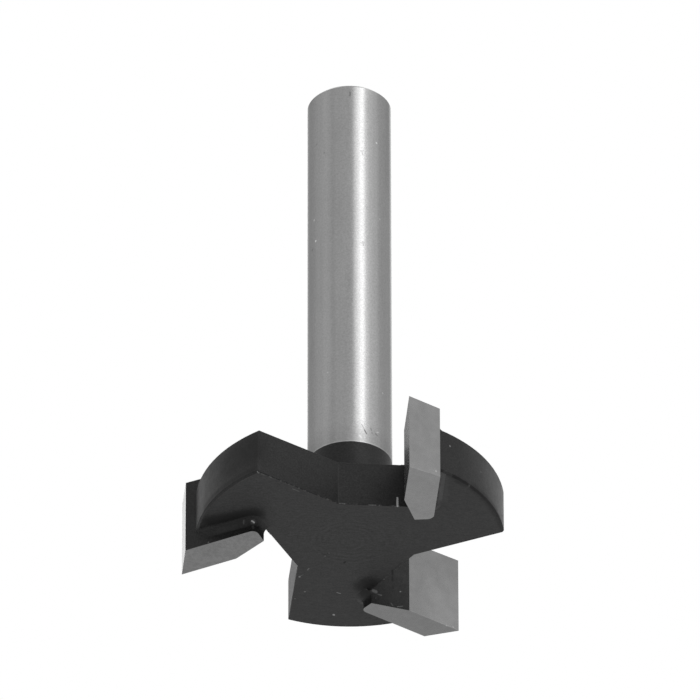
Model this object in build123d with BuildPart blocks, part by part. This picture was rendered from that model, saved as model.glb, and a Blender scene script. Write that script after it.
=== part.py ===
import math
import os

from build123d import *

os.makedirs("parts", exist_ok=True)

# Surfacing router bit, in millimetres
# The origin is on the axis, in the plane the cutting edges sweep. +Z runs up the shank.

# Shank
shank_diameter = 6.35
overall_length = 41.3
shank_end_chamfer = 0.25
neck_root_radius = 0.3

# Circle and height cut by the tips
cutting_diameter = 25.4
tip_height = 6.35
tip_count = 3
first_tip_angle = -70.0

# Carbide tip, seen from above: along its cutting edge and back from its rake face
cutting_edge_length = 4.5
tip_length = 7.25
tip_thickness = 2.4
nose_set_back = 1.0
tip_corner_radius = 0.5

# Grinding angles of a tip, in degrees
hook_angle = 15.5
radial_relief_angle = 15.8
axial_relief_angle = 5.5
dish_angle = 1.5

# How far the tips stand out of the body: outwards, below it and above it
tip_reach = 1.2
tip_drop = 1.45
tip_rise = 1.15

# Wings and gullets
gullet_angle = 56.4
gullet_floor_length = 4.67
gullet_corner_radius = 0.2
rim_edge_break = 0.15
gullet_edge_break = 0.05

# Braze between each tip and its seat
braze_gap = 0.05
lower_braze_leg = 0.55
upper_braze_leg = 0.3
braze_hollow_ratio = 1.15

# How far a milling cut runs past the body, and what counts as touching
overrun = 2.0
touching = 0.001

# Sizes that follow from those above
shank_radius = shank_diameter / 2
cutting_radius = cutting_diameter / 2
body_radius = cutting_radius - tip_reach
body_bottom = tip_drop
body_top = tip_height - tip_rise
seat_back = tip_thickness + braze_gap
seat_end = tip_length + braze_gap
seat_corner_radius = tip_corner_radius + braze_gap
rim_inner_radius = body_radius - rim_edge_break
tip_heel = tip_thickness * math.tan(math.radians(hook_angle + radial_relief_angle))


def tip_angle(number):
    """Angle of a tip's outer corner about the axis."""
    return first_tip_angle + number * 360 / tip_count


def tip_plane(angle):
    """Plane at a tip's outer corner: X runs back from the rake face, Y inwards along the edge."""
    corner = Vector(cutting_radius, 0).rotate(Axis.Z, angle)
    back = Vector(1, 0).rotate(Axis.Z, angle + 90 - hook_angle)
    return Plane(origin=corner, x_dir=back, z_dir=(0, 0, 1))


def relief_plane(seat):
    """Plane ground under a tip: it rises backwards and, less, inwards from the outer corner."""
    back_slope = seat.x_dir * math.tan(math.radians(axial_relief_angle))
    inward_slope = seat.y_dir * math.tan(math.radians(dish_angle))
    return Plane(origin=seat.origin, z_dir=seat.z_dir - back_slope - inward_slope)


def trailing_wall(seat, angle, along_edge):
    """Point on the wall behind a wing, at a distance along the next tip's cutting edge."""
    outer = seat.to_local_coords(Vector(body_radius, 0).rotate(Axis.Z, angle - gullet_angle))
    slope = (outer.X + gullet_floor_length) / (outer.Y - seat_end)
    return (-gullet_floor_length + slope * (along_edge - seat_end), along_edge)


def gullet_edges(edges, seat):
    """Edges round a gullet on both faces of the body, less the wall that the tip's seat removes."""
    ends = edges.filter_by(lambda edge: min(abs(edge.center().Z - z) for z in (body_bottom, body_top)) < touching)
    inner = ends.filter_by(lambda edge: math.hypot(edge.center().X, edge.center().Y) < rim_inner_radius - touching)
    return inner.filter_by(lambda edge: seat.to_local_coords(edge.center()).X < -touching)


# Cutter body: turned disc and shank
with BuildPart() as cutter_body:
    with BuildSketch(Plane.XZ) as turned_profile:
        with BuildLine():
            Polyline(
                (0, body_bottom),
                (body_radius, body_bottom),
                (body_radius, body_top),
                (shank_radius, body_top),
                (shank_radius, overall_length),
                (0, overall_length),
                close=True,
            )
        make_face()
        chamfer(turned_profile.vertices().group_by(Axis.X)[-1], length=rim_edge_break)
        neck_root = turned_profile.vertices().filter_by_position(Axis.X, shank_radius, shank_radius)
        fillet(neck_root.sort_by(Axis.Y)[0], radius=neck_root_radius)
        shank_end = turned_profile.vertices().group_by(Axis.Y)[-1]
        chamfer(shank_end.sort_by(Axis.X)[-1], length=shank_end_chamfer)
    revolve(axis=Axis.Z)

    # Gullets, milled through in front of the tips, with their edges broken
    for number in range(tip_count):
        seat = tip_plane(tip_angle(number))
        with BuildSketch(seat) as gullet:
            with BuildLine():
                Polyline(
                    (-gullet_floor_length, seat_end),
                    (0, seat_end),
                    (0, -overrun),
                    trailing_wall(seat, tip_angle(number), -overrun),
                    close=True,
                )
            make_face()
            floor_corners = gullet.vertices().group_by(Axis.Y)[-1]
            fillet(floor_corners.sort_by(Axis.X)[0], radius=gullet_corner_radius)
        extrude(amount=tip_height, mode=Mode.SUBTRACT)
        chamfer(gullet_edges(cutter_body.edges(Select.LAST), seat), length=gullet_edge_break)

    # Seats for the tips, one rounded corner each
    for number in range(tip_count):
        with BuildSketch(tip_plane(tip_angle(number))) as pocket:
            with BuildLine():
                Polyline(
                    (0, seat_end),
                    (seat_back, seat_end),
                    (seat_back, -overrun),
                    (-overrun, -overrun),
                    (-overrun, seat_end - seat_corner_radius),
                    (0, seat_end - seat_corner_radius),
                    close=True,
                )
            make_face()
            inner_corners = pocket.vertices().group_by(Axis.Y)[-1]
            fillet(inner_corners.sort_by(Axis.X)[-1], radius=seat_corner_radius)
        extrude(amount=tip_height, mode=Mode.SUBTRACT)

cutter_body.part.label = "cutter_body"
export_step(cutter_body.part, "parts/cutter_body.step")

# Carbide tips, ground with relief behind and below the cutting edges
for number in range(tip_count):
    seat = tip_plane(tip_angle(number))
    with BuildPart() as carbide_tip:
        with BuildSketch(seat):
            with BuildLine():
                Polyline(
                    (0, 0),
                    (0, cutting_edge_length),
                    (nose_set_back, tip_length),
                    (tip_thickness, tip_length),
                    (tip_thickness, tip_heel),
                    close=True,
                )
            make_face()
        extrude(amount=tip_height)
        upright = carbide_tip.edges().filter_by(Axis.Z)
        inner_back = seat.from_local_coords(Vector(tip_thickness, tip_length, tip_height / 2))
        fillet(upright.sort_by_distance(inner_back)[0], radius=tip_corner_radius)
        split(bisect_by=relief_plane(seat), keep=Keep.TOP)
    carbide_tip.part.label = f"carbide_tip_{number + 1}"
    export_step(carbide_tip.part, f"parts/carbide_tip_{number + 1}.step")

# Braze: a thin layer behind and inside each tip, with a hollow fillet below and above the body
for number in range(tip_count):
    seat = tip_plane(tip_angle(number))
    with BuildPart() as braze_seam:
        with BuildLine(seat) as seam_path:
            Line((tip_thickness, tip_heel), (tip_thickness, tip_length - tip_corner_radius))
            corner_centre = (tip_thickness - tip_corner_radius, tip_length - tip_corner_radius)
            CenterArc(corner_centre, tip_corner_radius, start_angle=0, arc_size=90)
            Line((tip_thickness - tip_corner_radius, tip_length), (nose_set_back, tip_length))
        section_origin = seat.from_local_coords(Vector(tip_thickness, tip_heel))
        section = Plane(origin=section_origin, x_dir=seat.x_dir, z_dir=-seat.y_dir)
        with BuildSketch(section):
            with BuildLine():
                Polyline(
                    (lower_braze_leg, body_bottom),
                    (braze_gap, body_bottom),
                    (braze_gap, body_top),
                    (upper_braze_leg, body_top),
                )
                RadiusArc(
                    (upper_braze_leg, body_top),
                    (0, body_top + upper_braze_leg),
                    upper_braze_leg * braze_hollow_ratio,
                )
                Line((0, body_top + upper_braze_leg), (0, body_bottom - lower_braze_leg))
                RadiusArc(
                    (0, body_bottom - lower_braze_leg),
                    (lower_braze_leg, body_bottom),
                    lower_braze_leg * braze_hollow_ratio,
                )
            make_face()
        sweep(path=seam_path.wires()[0])

        # Flush with the rim of the body
        with BuildSketch(Plane.XZ):
            with BuildLine():
                Polyline(
                    (0, 0),
                    (rim_inner_radius, 0),
                    (rim_inner_radius, body_bottom),
                    (body_radius, body_bottom + rim_edge_break),
                    (body_radius, body_top - rim_edge_break),
                    (rim_inner_radius, body_top),
                    (rim_inner_radius, tip_height),
                    (0, tip_height),
                    close=True,
                )
            make_face()
        revolve(axis=Axis.Z, mode=Mode.INTERSECT)
    braze_seam.part.label = f"braze_seam_{number + 1}"
    export_step(braze_seam.part, f"parts/braze_seam_{number + 1}.step")
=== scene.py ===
import math

import bpy
from mathutils import Matrix, Vector

MM = 0.001
DOWN = (0, 0, -1)
UP = (0, 0, 1)

# Sizes of the part, in millimetres and degrees
PAINT_LINE = 8.35
CUTTING_RADIUS = 12.7
FIRST_TIP_ANGLE = -70
TIP_COUNT = 3
HOOK_ANGLE = 15.5
AXIAL_RELIEF_ANGLE = 5.5
DISH_ANGLE = 1.5

# Marks are rows of a radius, a strength, and a point or the two ends of a line, in millimetres.
# A mark is full out to the first of these shares of its radius, and gone at the second.
MARK_CORE = 0.4
MARK_REACH = 1.6

# Chips and paler places in the paint of the body; some paler places are painted highlights, sheen and light
BODY_CHIPS_AND_HIGHLIGHTS = (
    # In and beside the front gullet, from the left wing to the first tip
    (0.05, 0.14, (-6.84, -9.12, 1.52), (-6.76, -9.04, 1.47)),
    (0.05, 0.05, (-5.9, -8.6, 1.45)),
    (0.04, 0.05, (-4.25, -6.95, 1.45), (-3.8, -6.65, 1.45)),
    (0.05, 0.16, (-0.85, -5.05, 1.45), (-0.4, -5.0, 1.45)),
    (0.05, 0.10, (0.5, -4.95, 1.45), (0.65, -4.95, 1.45)),
    (0.05, 0.12, (1.4, -4.85, 1.45), (1.9, -4.8, 1.45)),
    # Painted highlight: a glint on the hub wall beside the first tip
    (0.07, 0.45, (3.5, -4.65, 1.5), (3.5, -4.7, 2.2)),
    # Underside of the rear wing and of the middle
    (0.08, 0.16, (-3.75, 4.65, 1.45)),
    (0.04, 0.04, (-3.65, 4.5, 1.45), (-3.5, 4.4, 1.45)),
    (0.07, 0.10, (-3.35, 6.65, 1.45)),
    (0.09, 0.26, (-1.2, 9.75, 1.45)),
    (0.05, 0.10, (-0.95, 6.75, 1.45), (-0.7, 6.9, 1.45)),
    (0.05, 0.07, (-3.15, 3.75, 1.45), (-3.06, 3.55, 1.45)),
    (0.06, 0.08, (-4.1, 7.6, 1.45)),
    (0.06, 0.06, (-1.85, 1.9, 1.45)),
    (0.05, 0.06, (-1.55, 1.5, 1.45)),
    # Rim of the right wing, and the underside next to the first tip
    (0.07, 0.15, (7.37, -8.82, 4.01)),
    (0.06, 0.07, (9.68, -6.2, 3.48)),
    (0.09, 0.04, (8.78, -7.28, 1.52)),
    (0.07, 0.03, (7.05, -9.03, 1.6)),
    (0.14, 0.016, (6.9, -9.05, 1.5), (7.4, -8.65, 1.5)),
    # Painted highlight: a faint light strip on the underside beside the first tip
    (0.35, 0.014, (6.9, -8.6, 1.45), (6.85, -5.6, 1.45)),
    # Painted sheen: wide paler patches on the rim of the right wing
    (1.6, 0.020, (10.45, -4.7, 3.9)),
    (2.0, 0.010, (9.9, -5.8, 4.6)),
    # Rim of the left wing: a painted sheen, and painted light along its edge break
    (0.9, 0.014, (-11.0, -3.4, 3.6)),
    (0.14, 0.005, (-9.2, -6.85, 1.5), (-7.1, -9.04, 1.5)),
)

# Darker, duller places in the paint of the body: stain marks, and painted shade where marked
BODY_STAINS_AND_SHADE = (
    # Fine dark spots and lines
    (0.08, 0.9, (-0.42, 2.8, 1.45), (-0.34, 2.64, 1.45)),
    (0.08, 0.9, (3.16, 3.75, 1.45), (3.18, 3.95, 1.45)),
    (0.06, 0.35, (3.25, 3.75, 1.45), (3.81, 2.75, 1.45)),
    # Painted shade beside the braze of the third and the second tip
    (0.65, 0.85, (-10.3, -2.8, 1.45), (-7.0, -3.8, 1.45)),
    (0.70, 0.9, (0.95, 5.9, 1.45), (1.4, 5.35, 1.45)),
    # Painted shade along the edge break of the right wing
    (0.08, 0.5, (7.0, -8.9, 1.45), (7.7, -8.3, 1.45)),
    (0.16, 0.7, (7.65, -8.45, 1.54), (8.05, -8.07, 1.54)),
    (0.28, 0.56, (7.97, -8.0, 1.5), (8.5, -7.5, 1.5)),
    (0.28, 0.62, (9.0, -6.97, 1.63), (9.6, -6.1, 1.63)),
    (0.26, 0.66, (9.6, -6.1, 1.64), (10.35, -4.7, 1.64)),
    (0.25, 0.68, (10.35, -4.7, 1.63), (10.75, -3.7, 1.63)),
    (0.19, 0.68, (10.75, -3.7, 1.60), (11.3, -1.6, 1.60)),
    # Painted shade on the rim of the left wing, and along its edge break
    (1.2, 0.6, (-8.9, -7.3, 3.4), (-7.3, -8.85, 3.6)),
    (0.26, 0.74, (-10.75, -4.1, 1.77), (-9.8, -6.0, 1.77)),
    (0.26, 0.64, (-9.8, -6.0, 1.77), (-8.6, -7.62, 1.77)),
    (0.24, 0.50, (-8.6, -7.62, 1.77), (-7.1, -9.04, 1.77)),
)

# Edges of the front gullet where the paint is worn here and there
WORN_GULLET_EDGES = (
    (0.06, 0.06, (-6.8, -9.1, 1.45), (-0.95, -5.1, 1.45)),
    (0.06, 0.08, (-0.9, -5.08, 1.45), (3.6, -4.65, 1.45)),
)

# Chips, paler places and darker places in the paint of the braze, at the third, the second and the first
# tip.
# Some paler places are painted highlights and painted light, and the darker places are painted shade.
BRAZE_CHIPS_AND_HIGHLIGHTS = (
    # Painted highlight: a glint on the braze at the third tip
    (0.06, 0.45, (-7.28, -3.06, 1.24), (-7.12, -3.0, 1.14)),
    (0.18, 0.05, (-7.2, -3.0, 1.2)),
    (0.08, 0.04, (-7.85, -2.95, 1.3)),
    (0.05, 0.07, (-7.89, -2.96, 1.35), (-7.89, -2.77, 1.18)),
    # Painted light: a faint paler strip on the braze by the third tip
    (0.30, 0.007, (-9.7, -1.9, 1.05), (-7.8, -2.75, 1.0)),
    # Painted highlight: a glint on the braze at the second tip
    (0.10, 0.10, (1.55, 6.35, 1.38), (1.75, 6.45, 1.33)),
    (0.06, 0.08, (1.25, 6.29, 1.41)),
    # Painted highlight: the same light strip on the braze beside the first tip
    (0.35, 0.028, (6.85, -9.2, 1.4), (6.8, -5.8, 1.4)),
)
# Painted shade in the paint of the braze, beside the third and the second tip
BRAZE_PAINTED_SHADE = (
    (0.50, 0.4, (-10.0, -2.5, 1.2), (-7.6, -3.1, 1.2)),
    (0.60, 0.8, (0.9, 6.4, 1.2), (1.5, 6.3, 1.2)),
)

# Chips, painted highlights and stain marks in the paint of each tip
TIP_CHIPS_AND_HIGHLIGHTS = {
    1: ((0.07, 0.05, (5.0, -7.0, 1.2)),),
    2: (
        # Painted highlight: a glint at the second tip's inner end, by the braze
        (0.14, 0.10, (1.77, 6.49, 1.43), (1.95, 6.53, 1.36)),
        (0.05, 0.05, (1.94, 6.53, 0.8)),
        # Painted highlight: a glint on the braze corner by the second tip
        (0.05, 0.10, (2.05, 6.6, 1.18), (2.35, 6.65, 1.12)),
        (0.06, 0.20, (3.8, 7.0, 1.7)),
        (0.05, 0.08, (2.55, 6.7, 2.6)),
        (0.04, 0.08, (3.05, 6.85, 0.55), (3.2, 6.85, 0.35)),
        (0.04, 0.09, (3.55, 6.95, 0.3), (3.95, 7.05, 0.42)),
    ),
    3: (
        # Painted highlight: a faint glint trailing down the back of the third tip
        (0.09, 0.03, (-7.2, -2.9, 1.1), (-7.2, -2.9, 0.7)),
        (0.05, 0.12, (-10.5, -1.4, 0.45)),
    ),
}
TIP_STAINS = {
    2: (
        (0.07, 0.9, (3.19, 6.85, 3.4), (3.2, 6.86, 3.15)),
        (0.07, 0.8, (3.19, 6.85, 2.91), (3.18, 6.85, 2.6)),
        (0.06, 0.6, (3.23, 6.86, 2.05), (3.23, 6.86, 1.87)),
    ),
}

# Bright specks on each tip's bare carbide, and wide paler patches on the side faces
CARBIDE_SPECKS = {
    1: ((0.07, 0.7, (6.3, -10.5, 0.6)),),
    2: ((0.06, 0.5, (7.25, 9.1, 0.05)), (0.06, 0.6, (7.75, 9.45, 0.15))),
    3: ((0.06, 0.2, (-9.5, 0.3, 0.2)),),
}
SIDE_FACE_PATCHES = {2: ((3.0, 0.17, (7.9, 9.55, 1.2)),)}

# Scuffs and bright specks on the shank
SHANK_SCUFFS = (
    (0.06, 0.25, (0.85, -3.05, 35.1), (1.05, -3.0, 35.15)),
    (0.05, 0.30, (0.95, -3.02, 35.1), (1.0, -3.0, 34.8)),
    (0.06, 0.25, (0.85, -3.05, 26.55), (1.1, -3.0, 26.6)),
    (0.05, 0.30, (1.0, -3.0, 26.7), (1.03, -3.0, 26.35)),
    (0.07, 0.3, (-1.9, -2.55, 35.3)),
    (0.10, 0.3, (-2.8, -1.5, 27.0)),
    (0.10, 0.15, (-2.48, -1.98, 36.5)),
    (0.06, 0.35, (0.05, -3.15, 40.5), (0.05, -3.15, 40.2)),
    (0.04, 0.35, (0.88, -3.05, 9.95), (1.05, -3.0, 9.6)),
    (0.05, 0.6, (1.08, -3.0, 9.5), (1.24, -2.92, 9.2)),
    (0.06, 0.3, (1.55, -2.75, 9.8), (1.6, -2.73, 9.65)),
    (0.06, 0.35, (1.65, -2.71, 9.4)),
    (0.05, 0.35, (1.93, -2.52, 9.45), (2.03, -2.43, 9.35)),
)
SHANK_SPECKS = (
    (0.08, 0.8, (2.05, -2.4, 36.3)),
    (0.09, 1.1, (-2.55, -1.9, 27.55)),
    (0.08, 0.6, (-2.67, -1.72, 29.6)),
    (0.07, 0.4, (-1.65, -2.7, 14.9)),
    (0.07, 0.4, (2.45, -2.0, 13.5)),
    (0.07, 0.4, (2.3, -2.2, 29.35)),
    (0.06, 0.3, (1.1, -2.95, 8.85)),
    (0.06, 0.25, (0.71, -3.09, 8.9), (0.85, -3.05, 8.75)),
    (0.05, 0.4, (2.0, -2.45, 9.6), (2.12, -2.35, 9.7)),
)

# Painted reflections in faint bands along the shank: angle about the axis, half width, half width of the
# core, and change of tone.
# The foot band is painted light, and fades in downwards, between two heights.
SHANK_REFLECTION_BANDS = ((-125, 9, 0, 0.08), (-113, 6, 0, -0.08), (-153, 13, 0, -0.06))
FOOT_LIGHT_BAND = (-15, 22, 8, 0.12)
FOOT_LIGHT_BAND_HEIGHTS = (36, 28)

# The paint line is soft, and above it the steel has a painted highlight in a thin rim, a painted dark
# reflection in a zone, and a duller zone
PAINT_LINE_BLUR = 0.03
RIM_HIGHLIGHT = 0.13
DARK_REFLECTION_ZONE = 2.2
DULLER_ZONE = 2.5

# Grey levels and roughness. Looking straight down adds the gain to the paint's level, and full darkening,
# both stain marks and painted shade, adds its own roughness to the paint's.
PAINT_LEVEL = 0.0070
UNDERSIDE_GAIN = 0.0080
DARKEST_PAINT = 0.001
PAINT_ROUGHNESS = 0.5
DARKENING_ROUGHNESS = 0.13
STEEL_LEVEL = 0.262
STEEL_ROUGHNESS = 0.23
STEEL_EDGE_TINT = (0.55, 0.55, 0.55, 1)
CARBIDE_LEVELS = {1: 0.178, 2: 0.152, 3: 0.158}
CARBIDE_ROUGHNESS = 0.27

# How each tip's underside differs in tone, and how much brighter the broken places are on it
# and along the lower edges of the side faces, where a painted highlight fades out between two heights above
# it
UNDERSIDE_CHANGES = {1: 0.06, 2: -0.02, 3: -0.035}
UNDERSIDE_MOTTLES = {1: 0.06, 2: 0.07, 3: 0.13}
LOWER_EDGE_HIGHLIGHT = 0.16
LOWER_EDGE_HEIGHTS = (0.12, 0.04)

# Rings left by turning, in radians per millimetre of radius. Under the paint they are strong out to
# the first radius and faint from the second.
TURNED_RINGS = 14.0
TURNED_RINGS_FADE = (2.4, 3.2)
FACED_RINGS = 30.0

# Soft boxes round the object: azimuths from left to right, elevations from foot to head, and radiance.
# Azimuth 0 is in front, and positive to the right.
SOFT_BOXES = (
    (12, 20, 17, 53, 1.2),
    (20, 29, 17, 53, 2.1),
    (29, 42, 17, 53, 3.3),
    (42, 54, 17, 53, 0.9),
    (54, 68, 17, 53, 0.5),
    (68, 84, 17, 53, 0.35),
    (150, 174, 17, 53, 0.9),
    (-176, -162, 17, 53, 0.9),
    (22, 42, -30, 8, 0.9),
    (-122, -98, -30, 8, 1.0),
)
SOFT_BOX_DISTANCE = 1500 * MM

# Strength of the white world, as seen and reflected, and as plain light
BACKDROP = 1.0
FILL_LIGHT = 0.65

# Floor: half its side, its grey, and the radii in millimetres between which it fades out
FLOOR_HALF = 1200 * MM
FLOOR_GREY = 0.85
FLOOR_FADE = (120, 800)

# Camera, in millimetres and degrees
SENSOR_WIDTH = 36
LENS = 656.12
CAMERA_AIM = (0.0279, 0, 18.853)
CAMERA_DISTANCE = 958.154
CAMERA_TURN = -0.2102
CAMERA_PITCH = 35.023
CAMERA_ROLL = -0.109


class Shader:
    """Builds the nodes of one material. Places and sizes are in millimetres."""

    def __init__(self, name):
        self.material = bpy.data.materials.new(name)
        self.material.use_nodes = True
        self.tree = self.material.node_tree
        self.tree.nodes.clear()
        coordinates = self.add("ShaderNodeTexCoord")
        self.normal = coordinates.outputs["Normal"]
        self.place = self.vector("SCALE", coordinates.outputs["Object"], Scale=1 / MM)
        axes = self.add("ShaderNodeSeparateXYZ", Vector=self.place)
        self.x, self.y, self.z = axes.outputs

    def add(self, kind, *inputs, settings=(), **named_inputs):
        """Adds a node. Inputs are values or sockets, in order or by name, and settings are pairs."""
        node = self.tree.nodes.new(kind)
        for key, value in settings:
            setattr(node, key, value)
        named = {key.replace("_", " "): value for key, value in named_inputs.items()}
        for key, value in [*enumerate(inputs), *named.items()]:
            if isinstance(value, bpy.types.NodeSocket):
                self.tree.links.new(value, node.inputs[key])
            else:
                node.inputs[key].default_value = value
        return node

    def math(self, operation, first, second=0.0):
        """Result of an operation on numbers."""
        settings = [("operation", operation)]
        return self.add("ShaderNodeMath", first, second, settings=settings).outputs[0]

    def vector(self, operation, *inputs, **named_inputs):
        """Result of an operation on vectors, which is a number for some of them."""
        settings = [("operation", operation)]
        node = self.add("ShaderNodeVectorMath", *inputs, settings=settings, **named_inputs)
        return node.outputs["Value" if operation in ("DOT_PRODUCT", "LENGTH", "DISTANCE") else "Vector"]

    def joined(self, operation, values):
        """Several values added up, or the largest of them, and so on."""
        result = values[0]
        for value in values[1:]:
            result = self.math(operation, result, value)
        return result

    def ramp(self, value, low, high, low_out=0.0, high_out=1.0):
        """Smooth step from one value to another."""
        ends = {"From_Min": low, "From_Max": high, "To_Min": low_out, "To_Max": high_out}
        settings = [("interpolation_type", "SMOOTHSTEP")]
        return self.add("ShaderNodeMapRange", Value=value, settings=settings, **ends).outputs[0]

    def noise(self, size, detail=2.0, stretch=(1, 1, 1), place=None):
        """Noise from 0 to 1 whose features have a size, stretched along the axes."""
        scaled = self.vector("DIVIDE", place or self.place, [size * share for share in stretch])
        inputs = {"Vector": scaled, "Scale": 1.0, "Detail": detail, "Roughness": 0.6}
        return self.add("ShaderNodeTexNoise", **inputs).outputs[0]

    def swing(self, amount, size, **noise_options):
        """Noise that swings about zero by an amount."""
        noise = self.noise(size, **noise_options)
        return self.math("MULTIPLY", self.math("SUBTRACT", noise, 0.5), amount)

    def radius(self):
        """Distance from the axis."""
        return self.vector("LENGTH", self.vector("MULTIPLY", self.place, (1, 1, 0)))

    def facing(self, direction, low, high):
        """Mask of the faces that look in a direction, between two cosines."""
        return self.ramp(self.vector("DOT_PRODUCT", self.normal, direction), low, high)

    def marks(self, rows):
        """Mask of ragged spots and short lines."""
        ragged = self.swing(1.0, size=0.12, detail=1.0)
        masks = []
        for radius, strength, *points in rows:
            distance = self.vector("DISTANCE", self.place, points[0])
            if len(points) == 2:
                line = Vector(points[1]) - Vector(points[0])
                away = self.vector("SUBTRACT", self.place, points[0])
                reach = self.vector("DOT_PRODUCT", away, line / line.length_squared)
                share = self.math("MINIMUM", self.math("MAXIMUM", reach, 0.0), 1.0)
                distance = self.vector("DISTANCE", away, self.vector("SCALE", line, Scale=share))
            edge = self.math("ADD", distance, self.math("MULTIPLY", ragged, radius))
            masks.append(self.ramp(edge, radius * MARK_REACH, radius * MARK_CORE, high_out=strength))
        return self.joined("MAXIMUM", masks)

    def surface(self, level, roughness, height, bump_distance, **named_inputs):
        """Principled shader of a grey level, with a bump of its own."""
        grey = self.add("ShaderNodeCombineColor", level, level, level).outputs[0]
        bump = self.add("ShaderNodeBump", Height=height, Distance=bump_distance * MM).outputs[0]
        inputs = {"Base_Color": grey, "Roughness": roughness, "Normal": bump, **named_inputs}
        return self.add("ShaderNodeBsdfPrincipled", **inputs).outputs[0]

    def mix(self, factor, first, second):
        """First surface where the factor is 0, and second where it is 1."""
        return self.add("ShaderNodeMixShader", factor, first, second).outputs[0]

    def finish(self, surface):
        """Material with a surface as its output."""
        self.add("ShaderNodeOutputMaterial", Surface=surface)
        return self.material


def turning_marks(shader):
    """Change of level by the turning marks under the paint: streaks, and rings that show in patches."""
    radius = shader.radius()
    wavy = shader.math("ADD", radius, shader.swing(0.5, size=1.5))
    rings = shader.math("SINE", shader.math("MULTIPLY", wavy, TURNED_RINGS))
    fading = shader.ramp(radius, *TURNED_RINGS_FADE, low_out=0.0045, high_out=0.001)
    patches = shader.math("MULTIPLY", shader.ramp(shader.noise(size=1.6), 0.40, 0.62), fading)
    streaks = shader.swing(0.022, size=0.15, stretch=(3, 1, 1))
    return shader.math("ADD", streaks, shader.math("MULTIPLY", rings, patches))


def black_paint(shader, chips_and_highlights, stains_and_shade=(), worn_edges=()):
    """Satin black paint: grain, turning marks under it, paint chipped to the metal, painted highlights,
    stain and painted shade.
    """
    underside_tone = shader.math("ADD", turning_marks(shader), UNDERSIDE_GAIN)
    tones = [
        shader.swing(0.028, size=0.11, detail=1.0, stretch=(1.2, 1, 1)),
        shader.swing(0.006, size=2.2),
        shader.math("MULTIPLY", underside_tone, shader.facing(DOWN, 0.8, 0.95)),
    ]
    level = shader.math("ADD", shader.joined("ADD", tones), PAINT_LEVEL)
    level = shader.math("MAXIMUM", level, DARKEST_PAINT)
    # Chips and painted highlights make the paint paler
    level = shader.math("ADD", level, shader.marks(chips_and_highlights))
    if worn_edges:
        broken = shader.ramp(shader.noise(size=0.35), 0.5, 0.62)
        level = shader.math("ADD", level, shader.math("MULTIPLY", shader.marks(worn_edges), broken))
    roughness = shader.math("ADD", shader.swing(0.16, size=0.5), PAINT_ROUGHNESS)
    # Stain marks and painted shade darken the paint and make it rougher
    if stains_and_shade:
        darkened = shader.marks(stains_and_shade)
        level = shader.math("MULTIPLY", level, shader.math("SUBTRACT", 1.0, darkened))
        roughness = shader.math("ADD", roughness, shader.math("MULTIPLY", darkened, DARKENING_ROUGHNESS))
    unevenness = shader.noise(size=0.22)
    return shader.surface(level, roughness, unevenness, bump_distance=0.004, Specular_IOR_Level=0.21)


def painted_light_band(shader, centre, half_width, core, change):
    """Painted light: change of tone in a band along the shank, round an angle about the axis."""
    angle = shader.math("MULTIPLY", shader.math("ARCTAN2", shader.y, shader.x), 180 / math.pi)
    aside = shader.math("ABSOLUTE", shader.math("SUBTRACT", angle, centre))
    return shader.ramp(aside, half_width, core, high_out=change)


def ground_steel(shader):
    """Satin ground steel: painted reflection and light in bands, grain, scuffs, painted highlight and dark
    reflection by the paint, and a duller zone.
    """
    end_face = shader.facing(UP, 0.8, 0.95)
    side_face = shader.math("SUBTRACT", 1.0, end_face)
    faced = shader.math("SINE", shader.math("MULTIPLY", shader.radius(), FACED_RINGS))
    tones = [
        shader.swing(0.42, size=0.14),
        shader.swing(0.16, size=0.5, detail=3.0, stretch=(1, 1, 14)),
        shader.swing(0.10, size=2.5),
        # Painted dark reflection of the black paint, then a painted highlight in a thin rim above the paint
        # line
        shader.ramp(shader.z, PAINT_LINE, PAINT_LINE + DARK_REFLECTION_ZONE, low_out=-0.14, high_out=0.0),
        shader.ramp(shader.z, PAINT_LINE + RIM_HIGHLIGHT, PAINT_LINE + PAINT_LINE_BLUR, high_out=0.3),
        shader.math("MULTIPLY", shader.marks(SHANK_SCUFFS), -1.0),
        shader.marks(SHANK_SPECKS),
        shader.joined("MULTIPLY", [faced, end_face, 0.06]),
    ]
    # Painted reflections in bands along the shank, and painted light paling its foot
    bands = [painted_light_band(shader, *band) for band in SHANK_REFLECTION_BANDS]
    fading_in = shader.ramp(shader.z, *FOOT_LIGHT_BAND_HEIGHTS)
    bands.append(shader.math("MULTIPLY", painted_light_band(shader, *FOOT_LIGHT_BAND), fading_in))
    tones += [shader.math("MULTIPLY", band, side_face) for band in bands]
    tone = shader.math("ADD", shader.joined("ADD", tones), 1.0)
    level = shader.math("MULTIPLY", tone, STEEL_LEVEL)
    dull = shader.ramp(shader.z, PAINT_LINE, PAINT_LINE + DULLER_ZONE, low_out=0.12, high_out=0.0)
    roughness = shader.joined("ADD", [shader.swing(0.10, size=0.3), dull, STEEL_ROUGHNESS])
    grinding = shader.math("ADD", shader.noise(size=0.15), shader.noise(size=0.07, stretch=(20, 20, 1)))
    metal = {"Metallic": 1.0, "Specular_Tint": STEEL_EDGE_TINT}
    return shader.surface(level, roughness, grinding, bump_distance=0.002, **metal)


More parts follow.
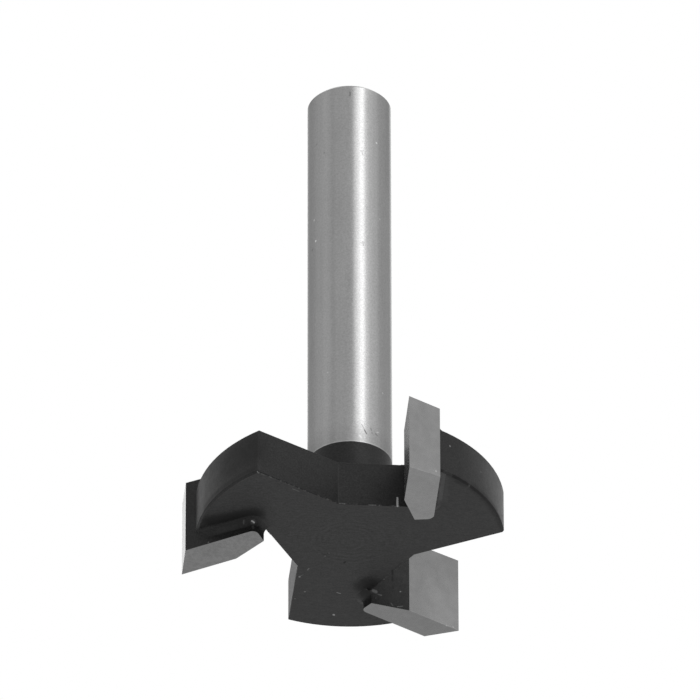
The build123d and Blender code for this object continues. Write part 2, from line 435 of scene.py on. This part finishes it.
def lower_edge_highlights_and_mottles(shader, number, back_place, inward_place, underside):
    """Painted highlight, broken up, along a tip's lower edges, and brighter broken places over its
    underside.
    """
    axial_rise = shader.math("MULTIPLY", back_place, math.tan(math.radians(AXIAL_RELIEF_ANGLE)))
    dish_rise = shader.math("MULTIPLY", inward_place, math.tan(math.radians(DISH_ANGLE)))
    above_relief = shader.math("SUBTRACT", shader.z, shader.math("ADD", axial_rise, dish_rise))
    brightening = shader.ramp(underside, 0, 1, low_out=LOWER_EDGE_HIGHLIGHT, high_out=UNDERSIDE_MOTTLES[number])
    edge = shader.math("MULTIPLY", shader.ramp(above_relief, *LOWER_EDGE_HEIGHTS), brightening)
    return shader.math("MULTIPLY", edge, shader.ramp(shader.noise(size=0.3), 0.4, 0.6))


def ground_carbide(shader, number, back_place, inward_place):
    """Ground carbide: mottled, with grinding lines underneath and a bright, broken painted highlight on its
    lower edges.
    """
    underside = shader.facing(DOWN, 0.8, 0.9)
    side_face = shader.math("SUBTRACT", 1.0, underside)
    seat_place = shader.add("ShaderNodeCombineXYZ", back_place, inward_place, shader.z).outputs[0]
    grinding = shader.swing(0.05, size=0.2, stretch=(8, 1, 1), place=seat_place)
    underside_tone = shader.math("ADD", grinding, UNDERSIDE_CHANGES[number])
    side_tone = shader.swing(0.30, size=0.9, detail=3.0)
    if number in SIDE_FACE_PATCHES:
        side_tone = shader.math("ADD", side_tone, shader.marks(SIDE_FACE_PATCHES[number]))
    tones = [
        shader.swing(0.26, size=1.3, detail=3.0),
        shader.swing(0.07, size=0.25),
        shader.math("MULTIPLY", underside_tone, underside),
        shader.math("MULTIPLY", side_tone, side_face),
        lower_edge_highlights_and_mottles(shader, number, back_place, inward_place, underside),
        shader.marks(CARBIDE_SPECKS[number]),
    ]
    tone = shader.math("ADD", shader.joined("ADD", tones), 1.0)
    level = shader.math("MULTIPLY", tone, CARBIDE_LEVELS[number])
    roughness = shader.math("ADD", shader.swing(0.10, size=0.4), CARBIDE_ROUGHNESS)
    unevenness = shader.noise(size=0.35)
    return shader.surface(level, roughness, unevenness, bump_distance=0.0002, Metallic=1.0)


def body_material():
    """Paint up to the paint line on the neck, and bare steel above it."""
    shader = Shader("painted_body_and_ground_shank")
    uneven = shader.math("ADD", shader.z, shader.swing(0.05, size=0.5))
    bare = shader.ramp(uneven, PAINT_LINE - PAINT_LINE_BLUR, PAINT_LINE + PAINT_LINE_BLUR)
    paint = black_paint(shader, BODY_CHIPS_AND_HIGHLIGHTS, BODY_STAINS_AND_SHADE, WORN_GULLET_EDGES)
    return shader.finish(shader.mix(bare, paint, ground_steel(shader)))


def braze_material():
    """Braze under the body's paint."""
    shader = Shader("painted_braze")
    return shader.finish(black_paint(shader, BRAZE_CHIPS_AND_HIGHLIGHTS, BRAZE_PAINTED_SHADE))


def tip_material(number):
    """Carbide bare where it is ground, and painted on the back, the nose, the inner end and the top."""
    shader = Shader(f"carbide_{number}")
    angle = FIRST_TIP_ANGLE + (number - 1) * 360 / TIP_COUNT
    seat_turn = Matrix.Rotation(math.radians(angle + 90 - HOOK_ANGLE), 3, "Z")
    back = seat_turn @ Vector((1, 0, 0))
    inward = seat_turn @ Vector((0, 1, 0))
    corner = Matrix.Rotation(math.radians(angle), 3, "Z") @ Vector((CUTTING_RADIUS, 0, 0))
    from_corner = shader.vector("SUBTRACT", shader.place, corner)
    back_place = shader.vector("DOT_PRODUCT", from_corner, back)
    inward_place = shader.vector("DOT_PRODUCT", from_corner, inward)
    painted_faces = [
        shader.facing(back, 0.75, 0.85),
        shader.facing(inward, 0.2, 0.3),
        shader.facing(UP, 0.7, 0.8),
    ]
    painted = shader.joined("MAXIMUM", painted_faces)
    bare = ground_carbide(shader, number, back_place, inward_place)
    paint = black_paint(shader, TIP_CHIPS_AND_HIGHLIGHTS[number], TIP_STAINS.get(number, ()))
    return shader.finish(shader.mix(painted, bare, paint))


def dress(node, material):
    """Gives a piece of the part its material."""
    node.data.materials.clear()
    node.data.materials.append(material)


def floor_material():
    """Pale floor, seen from above only and fading out into the white backdrop."""
    shader = Shader("pale_floor")
    seen = shader.add("ShaderNodeLightPath").outputs["Is Camera Ray"]
    from_below = shader.add("ShaderNodeNewGeometry").outputs["Backfacing"]
    near = shader.ramp(shader.vector("LENGTH", shader.place), *FLOOR_FADE, low_out=1.0, high_out=0.0)
    shown = shader.joined("MULTIPLY", [seen, shader.math("SUBTRACT", 1.0, from_below), near])
    grey = (FLOOR_GREY, FLOOR_GREY, FLOOR_GREY, 1)
    pale = shader.add("ShaderNodeBsdfDiffuse", Color=grey).outputs[0]
    clear = shader.add("ShaderNodeBsdfTransparent").outputs[0]
    return shader.finish(shader.mix(shown, clear, pale))


def add_floor(scene):
    """Square floor in the cutting plane, which the tips stand on."""
    mesh = bpy.data.meshes.new("floor")
    corners = [(-FLOOR_HALF, -FLOOR_HALF, 0), (FLOOR_HALF, -FLOOR_HALF, 0)]
    corners += [(FLOOR_HALF, FLOOR_HALF, 0), (-FLOOR_HALF, FLOOR_HALF, 0)]
    mesh.from_pydata(corners, [], [(0, 1, 2, 3)])
    mesh.materials.append(floor_material())
    floor = bpy.data.objects.new("floor", mesh)
    scene.collection.objects.link(floor)


def add_world(scene):
    """World that is white to the camera and in reflections, and weaker as light on the object."""
    world = bpy.data.worlds.new("studio")
    world.use_nodes = True
    tree = world.node_tree
    tree.nodes.clear()
    path = tree.nodes.new("ShaderNodeLightPath")
    white = path.outputs["Is Camera Ray"]
    for kind in ("Is Glossy Ray", "Is Transmission Ray"):
        either = tree.nodes.new("ShaderNodeMath")
        either.operation = "MAXIMUM"
        tree.links.new(white, either.inputs[0])
        tree.links.new(path.outputs[kind], either.inputs[1])
        white = either.outputs[0]
    strength = tree.nodes.new("ShaderNodeMapRange")
    strength.inputs["To Min"].default_value = FILL_LIGHT
    strength.inputs["To Max"].default_value = BACKDROP
    background = tree.nodes.new("ShaderNodeBackground")
    background.inputs["Color"].default_value = (1, 1, 1, 1)
    output = tree.nodes.new("ShaderNodeOutputWorld")
    tree.links.new(white, strength.inputs["Value"])
    tree.links.new(strength.outputs[0], background.inputs["Strength"])
    tree.links.new(background.outputs[0], output.inputs["Surface"])
    scene.world = world


def add_soft_box(scene, name, left, right, foot, head, radiance):
    """Lamp that fills a range of azimuths and elevations."""
    across = math.radians((left + right) / 2)
    up = math.radians((foot + head) / 2)
    lamp = bpy.data.lights.new(name, "AREA")
    lamp.shape = "RECTANGLE"
    lamp.size = 2 * SOFT_BOX_DISTANCE * math.tan(math.radians(right - left) / 2) * math.cos(up)
    lamp.size_y = 2 * SOFT_BOX_DISTANCE * math.tan(math.radians(head - foot) / 2)
    lamp.energy = radiance * math.pi * lamp.size * lamp.size_y
    direction = Vector((math.sin(across) * math.cos(up), -math.cos(across) * math.cos(up), math.sin(up)))
    soft_box = bpy.data.objects.new(name, lamp)
    soft_box.location = direction * SOFT_BOX_DISTANCE
    soft_box.rotation_euler = direction.to_track_quat("Z", "Y").to_euler()
    soft_box.visible_camera = False
    scene.collection.objects.link(soft_box)


def add_camera(scene):
    """Camera below the cutting plane, looking up at the bit as in the photograph."""
    data = bpy.data.cameras.new("camera")
    data.sensor_width = SENSOR_WIDTH
    data.lens = LENS
    camera = bpy.data.objects.new("camera", data)
    turn = Matrix.Rotation(math.radians(CAMERA_TURN), 4, "Z")
    aim = Matrix.Translation([place * MM for place in CAMERA_AIM])
    tilt = Matrix.Rotation(math.radians(90 + CAMERA_PITCH), 4, "X")
    roll = Matrix.Rotation(math.radians(CAMERA_ROLL), 4, "Z")
    back_off = Matrix.Translation((0, 0, CAMERA_DISTANCE * MM))
    camera.matrix_world = turn @ aim @ tilt @ roll @ back_off
    scene.collection.objects.link(camera)
    scene.camera = camera


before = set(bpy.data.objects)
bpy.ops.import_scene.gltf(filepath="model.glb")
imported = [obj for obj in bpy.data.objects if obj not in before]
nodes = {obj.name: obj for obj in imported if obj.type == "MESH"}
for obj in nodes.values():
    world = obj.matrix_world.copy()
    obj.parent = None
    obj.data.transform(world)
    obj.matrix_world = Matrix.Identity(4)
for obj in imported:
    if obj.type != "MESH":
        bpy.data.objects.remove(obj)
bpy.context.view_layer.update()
scene = bpy.context.scene

dress(nodes["cutter_body"], body_material())
painted_braze = braze_material()
for number in range(1, TIP_COUNT + 1):
    dress(nodes[f"carbide_tip_{number}"], tip_material(number))
    dress(nodes[f"braze_seam_{number}"], painted_braze)

add_floor(scene)
add_world(scene)
for number, soft_box in enumerate(SOFT_BOXES, 1):
    add_soft_box(scene, f"soft_box_{number}", *soft_box)
add_camera(scene)
scene.view_settings.view_transform = "Standard"
